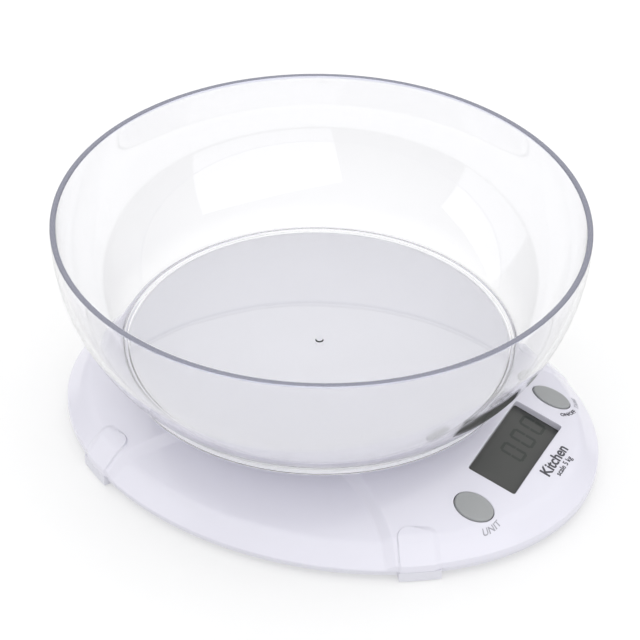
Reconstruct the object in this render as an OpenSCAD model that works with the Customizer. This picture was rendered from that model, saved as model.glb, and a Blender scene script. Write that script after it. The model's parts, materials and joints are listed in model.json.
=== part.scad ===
// Kitchen scale: an oval base with a display and two buttons, a weighing platform and a clear bowl.
// Millimetres. X runs to the user's right, -Y is the display end, +Z is up, and the table is at z = 0.

/* [Base] */
// Length of the oval base, front to back
base_length = 226.4; // [180:0.5:280]
// Width of the oval base
base_width = 179.6; // [150:0.5:220]
// Slope of the base's top, in degrees
dome_slope = 17.7; // [12:0.1:22]
// Wall thickness of the two base shells
shell_wall = 2.2; // [1.6:0.1:3]
// How far the side panels sit under the raised middle band
panel_step = 2.6; // [1:0.1:3]
// Narrowest half width of the raised middle band
waist = 41; // [30:0.5:55]
// Width of each corner foot along the edge
foot_width = 17; // [10:0.5:20]
// Place of the corner feet round the oval, in degrees from the X axis
foot_turn = 39.8; // [30:0.1:50]

/* [Bowl] */
// Outside diameter of the bowl at its rim
bowl_diameter = 215; // [170:0.5:260]
// Height of the bowl from its foot ring's floor to its rim
bowl_height = 61.5; // [50:0.5:85]
// Wall thickness of the bowl
bowl_wall = 2.4; // [1.6:0.1:3.5]
// Diameter of the bowl's foot ring
foot_ring_diameter = 162; // [130:0.5:180]

/* [Platform] */
// Gap between the base's flat top and the platform's lower edge
platform_gap = 3.5; // [2:0.1:6]
// Depth of the platform's edge
platform_depth = 4.5; // [3:0.1:8]
// Distance that the overload stop lets the platform sink
press_travel = 0.5; // [0.3:0.05:1]

/* [Weighing cell] */
// Length of the weighing cell
cell_length = 80; // [66:1:96]
// Side of the weighing cell's square section
cell_side = 12.7; // [10:0.1:14]

/* [Display and buttons] */
// Distance from the base's front edge back to the middle of the window, seen from above
display_setback = 30.5; // [26:0.1:40]
// Width of the display window
window_width = 48.6; // [38:0.1:50]
// Height of the display window along the slope
window_height = 21.3; // [15:0.1:24]
// Width of a button
button_width = 12; // [8:0.1:13]
// Height of a button along the slope
button_height = 16.5; // [10:0.1:18]
// Distance along X between the window and each button
button_gap = 9; // [8:0.1:12]
// Travel of a button
button_travel = 0.5; // [0.2:0.05:0.8]

/* [Batteries] */
// Diameter of a battery cell
battery_diameter = 10.5; // [8.5:0.1:11]
// Length of a battery cell
battery_length = 44.5; // [38:0.5:48]

/* [Hidden] */
$fn = 64;
gap = 0.3;              // clearance between pieces that move apart
fit = 0.06;             // radial clearance of a screw or pin in its hole
eps = 0.01;

half_length = base_length / 2;
half_width = base_width / 2;
width_ratio = half_width / half_length;
bowl_y = 5.7;           // the weighing axis sits behind the middle of the base

// Heights in the base, from the table up
foot_z = 0.8;           // lower end of the corner feet, above the pads' own faces
floor_z = 3.2;
floor_top = floor_z + 2;
seam_z = 5;

// Weighing cell stack, from the floor up
cell_z = floor_top + 5;
cell_top = cell_z + cell_side;
spacer_height = 3.2;
spacer_length = 20;
bracket_z = cell_top + spacer_height;
bracket_thick = 2;
bracket_r = 17;
cell_screw_r = 2;
cell_screw_head_r = 3;
cell_screw_head_h = 1.6;
cell_screw_x = [cell_length / 2 - 6, cell_length / 2 - 15];
head_room = 3.1;        // between the upper cell screws and the shell above them
platform_screw_r = 1.5;
platform_screw_ring = 9.5;

// Profile of the base's top, along its length
base_height = bracket_z + bracket_thick + cell_screw_head_h + head_room + shell_wall;
rise = tan(dome_slope);
edge_z = 8;
edge_drop = 7.8;        // height and depth of the steep outer edge
crease_r = half_length - edge_drop;
crease_z = edge_z + edge_drop;
plateau_r = crease_r - (base_height - crease_z) / rise;

// Slope frame: its origin lies on the middle line where the display is centred
slope_r = half_length - display_setback;
slope_z = crease_z + (crease_r - slope_r) * rise;

// Platform and bowl
platform_z = base_height + platform_gap;
platform_top = platform_z + platform_depth;
hub_r = 15;
hub_hole_r = hub_r + 2;
foot_ring_r = foot_ring_diameter / 2;
foot_ring_wall = 2.6;
foot_ring_depth = 3;
platform_r = foot_ring_r - foot_ring_wall - 0.6;
rim_r = bowl_diameter / 2;
rim_z = platform_top + bowl_height;
bowl_floor = 2;

// Buttons
sleeve_wall = 1.2;
button_offset = window_width / 2 + button_gap + button_width / 2;
button_stand = 0.4;     // how far a button's face stands above the shell around it
flange_width = 1;
flange_thick = 1;
switch_side = 6;
switch_height = 3.4;
plunger_r = 1.7;
plunger_height = 0.9;
plunger_depth = 1.6;

// How far the dome falls below the slope frame at a distance x from the middle line
function dome_fall(x) =
    (half_length * norm([x / half_width, slope_r / half_length]) - slope_r) * sin(dome_slope);

// Display stack, measured down from the slope frame. A button's flange clears the shell where it is lowest.
flange_drop = dome_fall(button_offset + button_width / 2 + gap + sleeve_wall) + 1.05 * shell_wall + 0.35;
lcd_drop = 4.6;
lcd_thick = 2.8;
lcd_half_x = window_width / 2 + 2.8;
lcd_half_v = window_height / 2 + 1.8;
lcd_play = 0.1;
holder_wall = 1;
pcb_drop = flange_drop + flange_thick + 1.9;
pcb_thick = 1.2;
pcb_boss_r = 1.9;
pcb_screw_r = 1;
pcb_screw_x = lcd_half_x + lcd_play + holder_wall + pcb_boss_r + 0.5;
pcb_half_x = button_offset + switch_side / 2 + 1.7;
pcb_front = -lcd_half_v - lcd_play - holder_wall - 0.5;
pcb_back = lcd_half_v + lcd_play + holder_wall + 3.5;
pcb_screw_v = [pcb_front + 2.5, pcb_back - 3];
button_floor_drop = pcb_drop - switch_height - plunger_height;

// Batteries
battery_pitch = battery_diameter + 0.8;
spring_length = 4.5;
plate_thick = 0.4;
bay_half_x = battery_length / 2 + spring_length / 2 + plate_thick + 0.1;
bay_half_y = battery_pitch + 0.5;
bay_y = 60;
bay_wall = 1.6;
door_thick = 1.6;
battery_z = floor_z + door_thick + 0.6 + battery_diameter / 2;
bay_roof = battery_z + battery_diameter / 2 + 0.5;
hinge_r = 1.3;
hinge_y = bay_y - bay_half_y + gap + hinge_r;
hinge_z = floor_z + hinge_r;
hinge_pin_r = 0.8;
hinge_pin_length = 1.2;

// Screws that hold the two shells together
shell_screw = 54;
shell_screw_r = 1.5;
shell_screw_head_r = 2.8;
shell_boss_r = 3.4;
post_top = 9;

// Corner feet, square to the edge of the base
foot_reach = 10.5;
foot_round = 5;
foot_lift = 0.8;
foot_inset = 1.8;
foot_x = (half_width - foot_inset) * cos(foot_turn);
foot_y = (half_length - foot_inset) * sin(foot_turn);
foot_angle = atan2(foot_y / pow(half_length, 2), foot_x / pow(half_width, 2));
pad_r = 4.5;
pad_height = 2;
pad_inset = 5.4;

// ---- Shared helpers ----

// Four copies of a child in the quadrants, the first as drawn
module quadrants() {
    for (sx = [1, -1], sy = [1, -1]) {
        scale_sign(sx, sy) children();
    }
}

// Mirrors the child in X, Y or both
module scale_sign(sx, sy) {
    mirror([sx < 0 ? 1 : 0, 0, 0]) mirror([0, sy < 0 ? 1 : 0, 0]) children();
}

// Child drawn in the slope frame: u to the right, v up the slope, w out of the surface
module on_slope(u = 0, v = 0, w = 0) {
    translate([0, -slope_r, slope_z]) rotate([dome_slope, 0, 0]) translate([u, v, w]) children();
}

// Flat oval of the given half sizes
module oval(half_u, half_v) {
    scale([half_u / half_v, 1]) circle(r = half_v);
}

// Straight wire between two points
module wire_piece(a, b, r) {
    d = b - a;
    turn = atan2(d.y, d.x);
    tilt = acos(d.z / norm(d));
    translate(a) rotate([0, tilt, turn]) cylinder(r = r, h = norm(d));
}

// Wire through a list of points, with round corners
module wire(points, r) {
    for (i = [0 : len(points) - 2]) {
        wire_piece(points[i], points[i + 1], r);
        translate(points[i + 1]) sphere(r = r * 1.1);
    }
}

// Screw with its head's seat at z = 0 and its shank running down
module pan_screw(r, length, head_r, head_h) {
    translate([0, 0, -length]) cylinder(r = r, h = length + eps);
    difference() {
        cylinder(r = head_r, h = head_h);
        translate([-head_r * 0.6, -0.4, head_h - 0.6]) cube([head_r * 1.2, 0.8, 1]);
        translate([-0.4, -head_r * 0.6, head_h - 0.6]) cube([0.8, head_r * 1.2, 1]);
    }
}

// ---- Base shells ----

// Solid under the base's top from z0 up, taken in by d all over and lowered by drop
module dome(d = 0, drop = 0, z0 = 0) {
    top = base_height - d - drop;
    scale([width_ratio, 1, 1]) rotate_extrude() polygon([
        [0, z0],
        [half_length - d, z0],
        [half_length - d, edge_z - 0.41 * d - drop],
        [crease_r - 0.53 * d, crease_z - 0.88 * d - drop],
        [plateau_r - 0.16 * d, top],
        [0, top],
    ]);
}

// Two round pillars whose inner sides bound the raised middle band
module side_pillars(grow = 0) {
    pillar_r = 78.5;
    for (s = [-1, 1]) {
        translate([s * (waist + pillar_r), 0, -1]) cylinder(r = pillar_r + grow, h = 60);
    }
}

// Dome with the two side panels let in
module stepped_dome(d = 0, z0 = 0) {
    difference() {
        dome(d, 0, z0);
        difference() {
            side_pillars(d);
            dome(d, panel_step, z0 - 1);
        }
    }
}

// Plan of one corner foot: outwards is +X, and its inner corners are round
module foot_plan() {
    half = foot_width / 2;
    inner = foot_round - foot_reach;
    translate([inner, -half]) square([foot_reach, foot_width]);
    translate([-foot_reach, foot_round - half]) square([foot_round + eps, foot_width - 2 * foot_round]);
    for (s = [-1, 1]) {
        translate([inner, s * (half - foot_round)]) circle(r = foot_round);
    }
}

// One corner foot's prism between two heights
module foot_prism(z0, z1) {
    translate([foot_x, foot_y, z0]) rotate([0, 0, foot_angle]) linear_extrude(z1 - z0) foot_plan();
}

// Middle of a foot pad
module at_pad() {
    translate([foot_x, foot_y, 0]) rotate([0, 0, foot_angle]) translate([-pad_inset, 0, 0]) children();
}

// Child's part that lies inside the shell, up to the middle of its wall
module under_dome() {
    intersection() {
        dome(shell_wall / 2);
        children();
    }
}

// Tubes that guide the buttons, the well under the display window and the posts for the board's screws
module slope_walls() {
    for (s = [-1, 1]) {
        under_dome() on_slope(s * button_offset, 0, gap - flange_drop) linear_extrude(base_height)
            oval(button_width / 2 + gap + sleeve_wall, button_height / 2 + gap + sleeve_wall);
    }
    under_dome() on_slope(-window_width / 2 - 1.2, -window_height / 2 - 1.2, -lcd_drop)
        cube([window_width + 2.4, window_height + 2.4, base_height]);
    for (s = [-1, 1], v = pcb_screw_v) {
        under_dome() on_slope(s * pcb_screw_x, v, -pcb_drop) cylinder(r = pcb_boss_r, h = base_height);
    }
}

// Openings through the slope for the window and the buttons, and the pilot holes of the board's screws
module slope_holes() {
    for (s = [-1, 1]) {
        on_slope(s * button_offset, 0, -20) linear_extrude(40)
            oval(button_width / 2 + gap, button_height / 2 + gap);
    }
    on_slope(0, 0, -20) translate([-window_width / 2, -window_height / 2, 0])
        cube([window_width, window_height, 40]);
    for (s = [-1, 1], v = pcb_screw_v) {
        on_slope(s * pcb_screw_x, v, -pcb_drop - eps) cylinder(r = pcb_screw_r + fit, h = 4);
    }
}

module top_housing() {
    color("#EDEDF6") difference() {
        union() {
            difference() {
                union() {
                    stepped_dome();
                    quadrants() intersection() {
                        dome(-foot_lift);
                        foot_prism(0, base_height);
                    }
                }
                stepped_dome(shell_wall, -1);
                translate([-base_width, -base_length, seam_z - 50]) cube([2 * base_width, 2 * base_length, 50]);
            }
            slope_walls();
            for (sx = [1, -1], sy = [1, -1]) {
                under_dome() translate([sx * shell_screw, sy * shell_screw, post_top])
                    cylinder(r = shell_boss_r, h = base_height);
            }
        }
        slope_holes();
        translate([0, bowl_y, 20]) cylinder(r = hub_hole_r, h = 40);
        quadrants() translate([shell_screw, shell_screw, post_top - eps])
            cylinder(r = shell_screw_r + fit, h = 6);
    }
}

// Solid oval slab between two heights, taken in by d
module oval_slab(d, z0, z1) {
    translate([0, 0, z0]) linear_extrude(z1 - z0) oval(half_width - d, half_length - d);
}

// Walls and roof of the battery bay, open underneath
module bay_shell() {
    translate([-bay_half_x - bay_wall, bay_y - bay_half_y - bay_wall, floor_z])
        cube([2 * (bay_half_x + bay_wall), 2 * (bay_half_y + bay_wall), bay_roof + bay_wall - floor_z]);
}

module bay_space() {
    translate([-bay_half_x, bay_y - bay_half_y, floor_z - 1])
        cube([2 * bay_half_x, 2 * bay_half_y, bay_roof - floor_z + 1]);
}

// Line of the battery door's hinge, with the child laid along X from the middle
module at_hinge() {
    translate([0, hinge_y, hinge_z]) rotate([0, 90, 0]) children();
}

// Post under the loaded end of the weighing cell
module overload_stop() {
    translate([cell_length / 2 - 8, bowl_y - 4, floor_z]) cube([6, 8, cell_z - press_travel - floor_z]);
}

module bottom_housing() {
    lip_d = shell_wall + 0.2;
    color("#E9E9F3") difference() {
        union() {
            oval_slab(0.6, floor_z, seam_z);
            difference() {
                oval_slab(lip_d, floor_z, seam_z + 1.4);
                oval_slab(lip_d + 1.2, floor_top, seam_z + 2);
                translate([0, 0, seam_z + 1]) side_pillars(shell_wall + gap);
            }
            quadrants() intersection() {
                foot_prism(foot_z, seam_z);
                oval_slab(-foot_lift, 0, seam_z);
            }
            bay_shell();
            quadrants() translate([shell_screw, shell_screw, floor_z]) cylinder(r = 4.4, h = post_top - floor_z);
            translate([-cell_length / 2, bowl_y - 8, floor_z]) cube([spacer_length + 2, 16, 2]);
            overload_stop();
        }
        difference() {
            oval_slab(lip_d + 1.2, floor_top, seam_z + 2);
            translate([0, 0, 1]) bay_shell();
            overload_stop();
            quadrants() translate([shell_screw, shell_screw, 0]) cylinder(r = 4.4, h = 20);
        }
        bay_space();
        at_hinge() cylinder(r = hinge_pin_r + fit, h = 2 * (bay_half_x + hinge_pin_length + 0.1), center = true);
        quadrants() at_pad() translate([0, 0, foot_z - 1]) cylinder(r = pad_r + fit, h = pad_height - foot_z + 1);
        quadrants() translate([shell_screw, shell_screw, 0]) {
            cylinder(r = shell_screw_r + 0.2, h = 20);
            cylinder(r = shell_screw_head_r + 0.3, h = floor_z + 3);
        }
        for (x = cell_screw_x) {
            translate([-x, bowl_y, 0]) cylinder(r = cell_screw_r + 0.2, h = 10);
        }
    }
}

module housing_screws() {
    color("#B9BCC2") quadrants() translate([shell_screw, shell_screw, floor_z + 3]) rotate([180, 0, 0])
        pan_screw(shell_screw_r, 7.4, shell_screw_head_r, 1.8);
}

module foot_pads() {
    color("#3A3A3C") quadrants() at_pad() cylinder(r = pad_r, h = pad_height);
}

// ---- Platform and bowl ----

// Points on an arc round c, from angle a0 to a1
function arc(c, r, a0, a1, steps = 20) =
    [for (i = [0 : steps]) c + r * [cos(a0 + (a1 - a0) * i / steps), sin(a0 + (a1 - a0) * i / steps)]];

// The bowl's wall follows a circle that stands upright at the rim and meets the foot ring at the floor
wall_drop = rim_z - platform_top;
wall_run = rim_r - foot_ring_r;
wall_arc_r = (wall_drop * wall_drop + wall_run * wall_run) / (2 * wall_run);
wall_centre = [rim_r - wall_arc_r, rim_z];
wall_angle = asin(wall_drop / wall_arc_r);
inner_arc_r = wall_arc_r - bowl_wall;
inner_angle = asin((wall_drop - bowl_floor) / inner_arc_r);

module bowl() {
    ring_z = platform_top - foot_ring_depth;
    color([0.88, 0.89, 0.94, 0.35]) translate([0, bowl_y, 0]) union() {
        rotate_extrude() polygon(concat(
            [[0, platform_top], [foot_ring_r - foot_ring_wall, platform_top],
             [foot_ring_r - foot_ring_wall, ring_z], [foot_ring_r, ring_z]],
            arc(wall_centre, wall_arc_r, -wall_angle, 0),
            arc(wall_centre, inner_arc_r, 0, -inner_angle),
            [[0, platform_top + bowl_floor]]
        ));
        translate([0, 0, platform_top + bowl_floor - eps]) cylinder(r = 1.6, h = 0.5);
    }
}

module platform() {
    skirt = 2;
    hub_z = bracket_z + bracket_thick;
    color("#EFEFF8") translate([0, bowl_y, 0]) difference() {
        union() {
            rotate_extrude() polygon([
                [0, platform_z + 2], [platform_r - skirt, platform_z + 2], [platform_r - skirt, platform_z],
                [platform_r, platform_z], [platform_r, platform_top - 1.2], [platform_r - 0.4, platform_top - 0.4],
                [platform_r - 1.2, platform_top - 0.1], [0, platform_top - 0.1],
            ]);
            translate([0, 0, hub_z]) cylinder(r = hub_r, h = platform_z + 3 - hub_z);
            for (i = [0 : 5]) {
                rotate([0, 0, 60 * i]) translate([0, -0.8, platform_z]) cube([platform_r - skirt + 0.5, 1.6, 3]);
            }
        }
        for (i = [0 : 2]) {
            rotate([0, 0, 120 * i + 60]) translate([platform_screw_ring, 0, hub_z - 1])
                cylinder(r = platform_screw_r + fit, h = 8);
        }
    }
}

module platform_bracket() {
    arm = cell_length / 2 - 1.5;
    color("#C3C6CC") translate([0, bowl_y, bracket_z]) difference() {
        union() {
            cylinder(r = bracket_r, h = bracket_thick);
            translate([0, -cell_side / 2, 0]) cube([arm, cell_side, bracket_thick]);
        }
        for (i = [0 : 2]) {
            rotate([0, 0, 120 * i + 60]) translate([platform_screw_ring, 0, -1])
                cylinder(r = platform_screw_r + 0.2, h = bracket_thick + 2);
        }
        for (x = cell_screw_x) {
            translate([x, 0, -1]) cylinder(r = cell_screw_r + 0.2, h = bracket_thick + 2);
        }
    }
}

module platform_screws() {
    color("#B9BCC2") translate([0, bowl_y, bracket_z]) for (i = [0 : 2]) {
        rotate([0, 0, 120 * i + 60]) translate([platform_screw_ring, 0, 0]) rotate([180, 0, 0])
            pan_screw(platform_screw_r, 8, 2.6, 1.4);
    }
}

// ---- Weighing cell ----

// Two screw holes at one end of the cell; side is -1 for the fixed end and 1 for the loaded end
module cell_holes(side, r, z0, z1) {
    for (x = cell_screw_x) {
        translate([side * x, bowl_y, z0]) cylinder(r = r, h = z1 - z0);
    }
}

module load_cell() {
    bore_r = cell_side * 0.38;
    bore_x = 8;
    color("#C9CCD0") difference() {
        translate([-cell_length / 2, bowl_y - cell_side / 2, cell_z]) cube([cell_length, cell_side, cell_side]);
        for (s = [-1, 1]) {
            translate([s * bore_x, bowl_y + 20, cell_z + cell_side / 2]) rotate([90, 0, 0])
                cylinder(r = bore_r, h = 40);
        }
        translate([-bore_x, bowl_y - 20, cell_z + cell_side / 2 - 1]) cube([2 * bore_x, 40, 2]);
        cell_holes(-1, cell_screw_r + fit, cell_z - 1, cell_z + 9);
        cell_holes(1, cell_screw_r + fit, cell_top - 9, cell_top + 1);
    }
}

module gauge_coating() {
    color("#F4F4F2") for (z = [cell_z - 0.8, cell_top]) {
        translate([-14, bowl_y - cell_side / 2 + 0.6, z]) cube([28, cell_side - 1.2, 0.8]);
    }
}

// Spacer block under or over one end of the cell
module cell_spacer(side, z0, z1) {
    x0 = side < 0 ? -cell_length / 2 : cell_length / 2 - spacer_length;
    difference() {
        translate([x0, bowl_y - cell_side / 2, z0]) cube([spacer_length, cell_side, z1 - z0]);
        cell_holes(side, cell_screw_r + 0.2, z0 - 1, z1 + 1);
    }
}

module lower_spacer() {
    color("#B4B7BD") cell_spacer(-1, floor_top, cell_z);
}

module upper_spacer() {
    color("#B4B7BD") cell_spacer(1, cell_top, bracket_z);
}

module lower_cell_screws() {
    length = cell_z - floor_z + 7;
    color("#8E9197") for (x = cell_screw_x) {
        translate([-x, bowl_y, floor_z]) rotate([180, 0, 0])
            pan_screw(cell_screw_r, length, cell_screw_head_r, cell_screw_head_h);
    }
}

module upper_cell_screws() {
    length = bracket_z + bracket_thick - cell_top + 7;
    color("#8E9197") for (x = cell_screw_x) {
        translate([x, bowl_y, bracket_z + bracket_thick])
            pan_screw(cell_screw_r, length, cell_screw_head_r, cell_screw_head_h);
    }
}

// Point in the row frame of a place in the slope frame
function slope_point(u, v, w) = [
    u,
    -slope_r + v * cos(dome_slope) - w * sin(dome_slope),
    slope_z + v * sin(dome_slope) + w * cos(dome_slope)
];

module load_cell_wires() {
    wire_r = 0.5;
    color("#B03A34") for (i = [0 : 3]) {
        x = -17 + 1.6 * i;
        wire([
            [x, bowl_y - cell_side / 2 - wire_r - 0.1, cell_z + 4],
            [x, bowl_y - 26, floor_top + 2],
            [x, -46, floor_top + 2],
            slope_point(x, pcb_back - 3, -pcb_drop - pcb_thick - wire_r - 0.1),
        ], wire_r);
    }
}

// ---- Display, board and buttons ----

module pcb() {
    color("#2F6B45") difference() {
        on_slope(-pcb_half_x, pcb_front, -pcb_drop - pcb_thick)
            cube([2 * pcb_half_x, pcb_back - pcb_front, pcb_thick]);
        for (s = [-1, 1], v = pcb_screw_v) {
            on_slope(s * pcb_screw_x, v, -pcb_drop - 5) cylinder(r = pcb_screw_r + 0.15, h = 10);
        }
    }
}

module pcb_screws() {
    color("#B9BCC2") for (s = [-1, 1], v = pcb_screw_v) {
        on_slope(s * pcb_screw_x, v, -pcb_drop - pcb_thick) rotate([180, 0, 0])
            pan_screw(pcb_screw_r, pcb_thick + 3.5, 1.9, 0.9);
    }
}

module controller_chip() {
    color("#1E1E20") on_slope(0, 1, -pcb_drop - pcb_thick - 1.2) cylinder(r = 6, h = 1.2);
}

module pcb_components() {
    color("#C7A46A") {
        for (i = [0 : 4]) {
            on_slope(12 + 3 * i, 3, -pcb_drop - pcb_thick - 0.8) cube([1.2, 2, 0.8]);
        }
        on_slope(-20, -2, -pcb_drop - pcb_thick - 2) rotate([0, 0, 90]) cube([6, 2.2, 2]);
    }
}

module lcd_glass() {
    color("#474845") on_slope(-lcd_half_x, -lcd_half_v, -lcd_drop - lcd_thick - 0.05)
        cube([2 * lcd_half_x, 2 * lcd_half_v, lcd_thick]);
}

module lcd_holder() {
    outer_x = lcd_half_x + lcd_play + holder_wall;
    outer_v = lcd_half_v + lcd_play + holder_wall;
    height = pcb_drop - lcd_drop - 1;
    color("#F2F2F4") difference() {
        on_slope(-outer_x, -outer_v, -pcb_drop) cube([2 * outer_x, 2 * outer_v, height]);
        on_slope(-outer_x + holder_wall, -outer_v + holder_wall, -lcd_drop - lcd_thick - 0.05)
            cube([2 * outer_x - 2 * holder_wall, 2 * outer_v - 2 * holder_wall, height]);
        on_slope(-outer_x + 3, -outer_v + 2, -pcb_drop - 1)
            cube([2 * outer_x - 6, 2 * outer_v - 4, height + 2]);
    }
}

module lcd_connectors() {
    color("#D6A7B0") for (v = [-lcd_half_v + 1.6, lcd_half_v - 3.6]) {
        on_slope(-lcd_half_x + 3, v, -pcb_drop)
            cube([2 * lcd_half_x - 6, 2, pcb_drop - lcd_drop - lcd_thick - 0.05]);
    }
}

// Button cap with a flange that stops under its sleeve; the face follows the dome
module button(side) {
    difference() {
        union() {
            intersection() {
                on_slope(side * button_offset, 0, -flange_drop - flange_thick) linear_extrude(30)
                    oval(button_width / 2, button_height / 2);
                dome(-button_stand);
            }
            on_slope(side * button_offset, 0, -flange_drop - flange_thick) linear_extrude(flange_thick)
                oval(button_width / 2 + flange_width, button_height / 2 + flange_width);
        }
        on_slope(side * button_offset, 0, -flange_drop - flange_thick - 1)
            linear_extrude(flange_drop + flange_thick + 1 - button_floor_drop)
                oval(button_width / 2 - 1.2, button_height / 2 - 1.2);
    }
}

module tact_switch(side) {
    difference() {
        on_slope(side * button_offset - switch_side / 2, -switch_side / 2, -pcb_drop)
            cube([switch_side, switch_side, switch_height]);
        on_slope(side * button_offset, 0, -pcb_drop + switch_height - plunger_depth - button_travel)
            cylinder(r = plunger_r + fit, h = 5);
    }
}

module plunger(side) {
    on_slope(side * button_offset, 0, -pcb_drop + switch_height - plunger_depth + 0.2)
        cylinder(r = plunger_r, h = plunger_depth + plunger_height - 0.2);
}

module unit_button() {
    color("#A2A4A4") button(-1);
}

module power_button() {
    color("#A2A4A4") button(1);
}

module unit_switch() {
    color("#2A2A2C") tact_switch(-1);
}

module power_switch() {
    color("#2A2A2C") tact_switch(1);
}

module unit_switch_plunger() {
    color("#D8D8D8") plunger(-1);
}

module power_switch_plunger() {
    color("#D8D8D8") plunger(1);
}

// ---- Batteries ----

// Door with a barrel along its front edge, a pin at each end of the barrel and ribs for the thumb
module battery_door() {
    back_y = bay_y + bay_half_y - gap;
    color("#E9E9F3") difference() {
        union() {
            translate([-bay_half_x + gap, hinge_y, floor_z])
                cube([2 * (bay_half_x - gap), back_y - hinge_y, door_thick]);
            at_hinge() cylinder(r = hinge_r, h = 2 * (bay_half_x - gap), center = true);
            at_hinge() cylinder(r = hinge_pin_r, h = 2 * (bay_half_x + hinge_pin_length), center = true);
        }
        for (i = [-2 : 2]) {
            translate([-6, back_y - 6.7 + 1.6 * i, floor_z - 1]) cube([12, 0.7, 1.4]);
        }
    }
}

// Cell with its plus end towards s times X
module battery(y, s) {
    nub = 1;
    color("#C23B32") translate([0, y, battery_z]) rotate([0, 90 * s, 0]) {
        translate([0, 0, spring_length / 2 - battery_length / 2])
            cylinder(r = battery_diameter / 2, h = battery_length - nub);
        translate([0, 0, spring_length / 2 + battery_length / 2 - nub - eps]) cylinder(r = 1.9, h = nub);
    }
}

module battery_1() {
    battery(bay_y - battery_pitch / 2, 1);
}

module battery_2() {
    battery(bay_y + battery_pitch / 2, -1);
}

module battery_springs() {
    turns = 4;
    wire_r = 0.35;
    color("#BFC2C6") for (s = [-1, 1]) {
        x = battery_length / 2 - spring_length / 2 + 0.05;
        translate([-s * x, bay_y - s * battery_pitch / 2, battery_z]) rotate([0, -90 * s, 0])
            linear_extrude(spring_length - 0.1, twist = -360 * turns, slices = 24 * turns, $fn = 10)
                translate([2.6, 0]) circle(r = wire_r);
    }
}

module battery_contacts() {
    x0 = battery_length / 2 + spring_length / 2 + 0.05;
    half = battery_diameter / 2 - 0.8;
    color("#C9CBCF") {
        translate([-x0 - plate_thick, bay_y - battery_pitch / 2 - half, battery_z - half])
            cube([plate_thick, battery_pitch + 2 * half, 2 * half]);
        for (s = [-1, 1]) {
            translate([x0, bay_y + s * battery_pitch / 2 - half, battery_z - half])
                cube([plate_thick, 2 * half, 2 * half]);
        }
    }
}

module battery_wires() {
    wire_r = 0.6;
    color("#2B2B2D") for (i = [0, 1]) {
        x = cell_length / 2 + 3 + 2 * i;
        wire([
            [bay_half_x + bay_wall + 0.1 + wire_r, bay_y - 5 + 8 * i, battery_z],
            [x, bay_y - 5 + 6 * i, floor_top + 2],
            [x, -40, floor_top + 2],
            slope_point(22 + 3 * i, pcb_back - 3, -pcb_drop - pcb_thick - wire_r - 0.1),
        ], wire_r);
    }
}

bowl();
platform();
platform_bracket();
platform_screws();
upper_spacer();
upper_cell_screws();
load_cell();
gauge_coating();
lower_spacer();
lower_cell_screws();
load_cell_wires();
top_housing();
bottom_housing();
housing_screws();
foot_pads();
battery_door();
battery_1();
battery_2();
battery_springs();
battery_contacts();
battery_wires();
pcb();
pcb_screws();
controller_chip();
pcb_components();
lcd_glass();
lcd_holder();
lcd_connectors();
unit_button();
unit_switch();
unit_switch_plunger();
power_button();
power_switch();
power_switch_plunger();
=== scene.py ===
# %% [markdown]
# # A kitchen scale with a clear bowl
#
# The real object is a low oval base of glossy white ABS, a round weighing platform above it, and a large
# loose bowl of clear styrene plastic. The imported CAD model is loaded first. It fixes every place and size,
# and each piece made here is drawn in the same frame, so nothing has to be fitted afterwards.

# %% Load the CAD frame
import json
import math

import bmesh
import bpy
import numpy as np
from mathutils import Matrix, Vector
from mathutils.geometry import delaunay_2d_cdt
from mathutils.kdtree import KDTree


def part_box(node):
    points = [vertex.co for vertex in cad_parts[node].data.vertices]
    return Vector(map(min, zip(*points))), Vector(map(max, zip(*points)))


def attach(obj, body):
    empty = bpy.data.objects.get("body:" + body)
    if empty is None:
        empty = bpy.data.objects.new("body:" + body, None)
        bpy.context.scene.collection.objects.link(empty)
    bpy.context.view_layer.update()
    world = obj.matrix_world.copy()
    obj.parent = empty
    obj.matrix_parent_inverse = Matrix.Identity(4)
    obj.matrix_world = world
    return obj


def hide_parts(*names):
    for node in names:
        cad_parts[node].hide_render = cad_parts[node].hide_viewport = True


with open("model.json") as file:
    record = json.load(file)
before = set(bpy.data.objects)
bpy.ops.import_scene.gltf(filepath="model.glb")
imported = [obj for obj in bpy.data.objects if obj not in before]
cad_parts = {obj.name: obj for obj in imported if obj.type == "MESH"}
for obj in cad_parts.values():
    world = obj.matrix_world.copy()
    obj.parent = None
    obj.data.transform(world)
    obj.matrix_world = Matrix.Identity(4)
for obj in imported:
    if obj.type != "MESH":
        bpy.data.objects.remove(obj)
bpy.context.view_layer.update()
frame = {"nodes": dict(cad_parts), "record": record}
scene = bpy.context.scene
MM = 0.001

# %% [markdown]
# ## Camera
#
# The camera comes first, because every later choice of detail depends on what it sees. A long lens far
# away keeps the bowl's rim a clean ellipse. The camera looks down on the scale from its left side and a
# little from the front, so the display is near it. A very small roll levels the table.

# %% Camera
CAMERA_PLACE = Vector((-1.0105, -0.4710, 0.8873))
CAMERA_TARGET = Vector((0.0214, 0.0157, 0.0375))
CAMERA_ROLL = math.radians(1.04)

camera_data = bpy.data.cameras.new("camera")
camera_data.lens = 193.9
camera_data.sensor_width = 36
camera_data.clip_start = 0.05
camera_data.clip_end = 20
camera = bpy.data.objects.new("camera", camera_data)
scene.collection.objects.link(camera)
aim = (CAMERA_TARGET - CAMERA_PLACE).to_track_quat("-Z", "Y").to_matrix().to_4x4()
camera.matrix_world = Matrix.Translation(CAMERA_PLACE) @ aim @ Matrix.Rotation(CAMERA_ROLL, 4, "Z")
scene.camera = camera
print("camera distance, m:", round((CAMERA_TARGET - CAMERA_PLACE).length, 3))

# %% [markdown]
# ## Colours and shader nodes
#
# Colours are easiest to choose as sRGB hex values, but the shaders want linear light, so one function
# turns them. A second small function adds a node together with its settings and links, which keeps each
# material short enough to read as a recipe.

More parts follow.
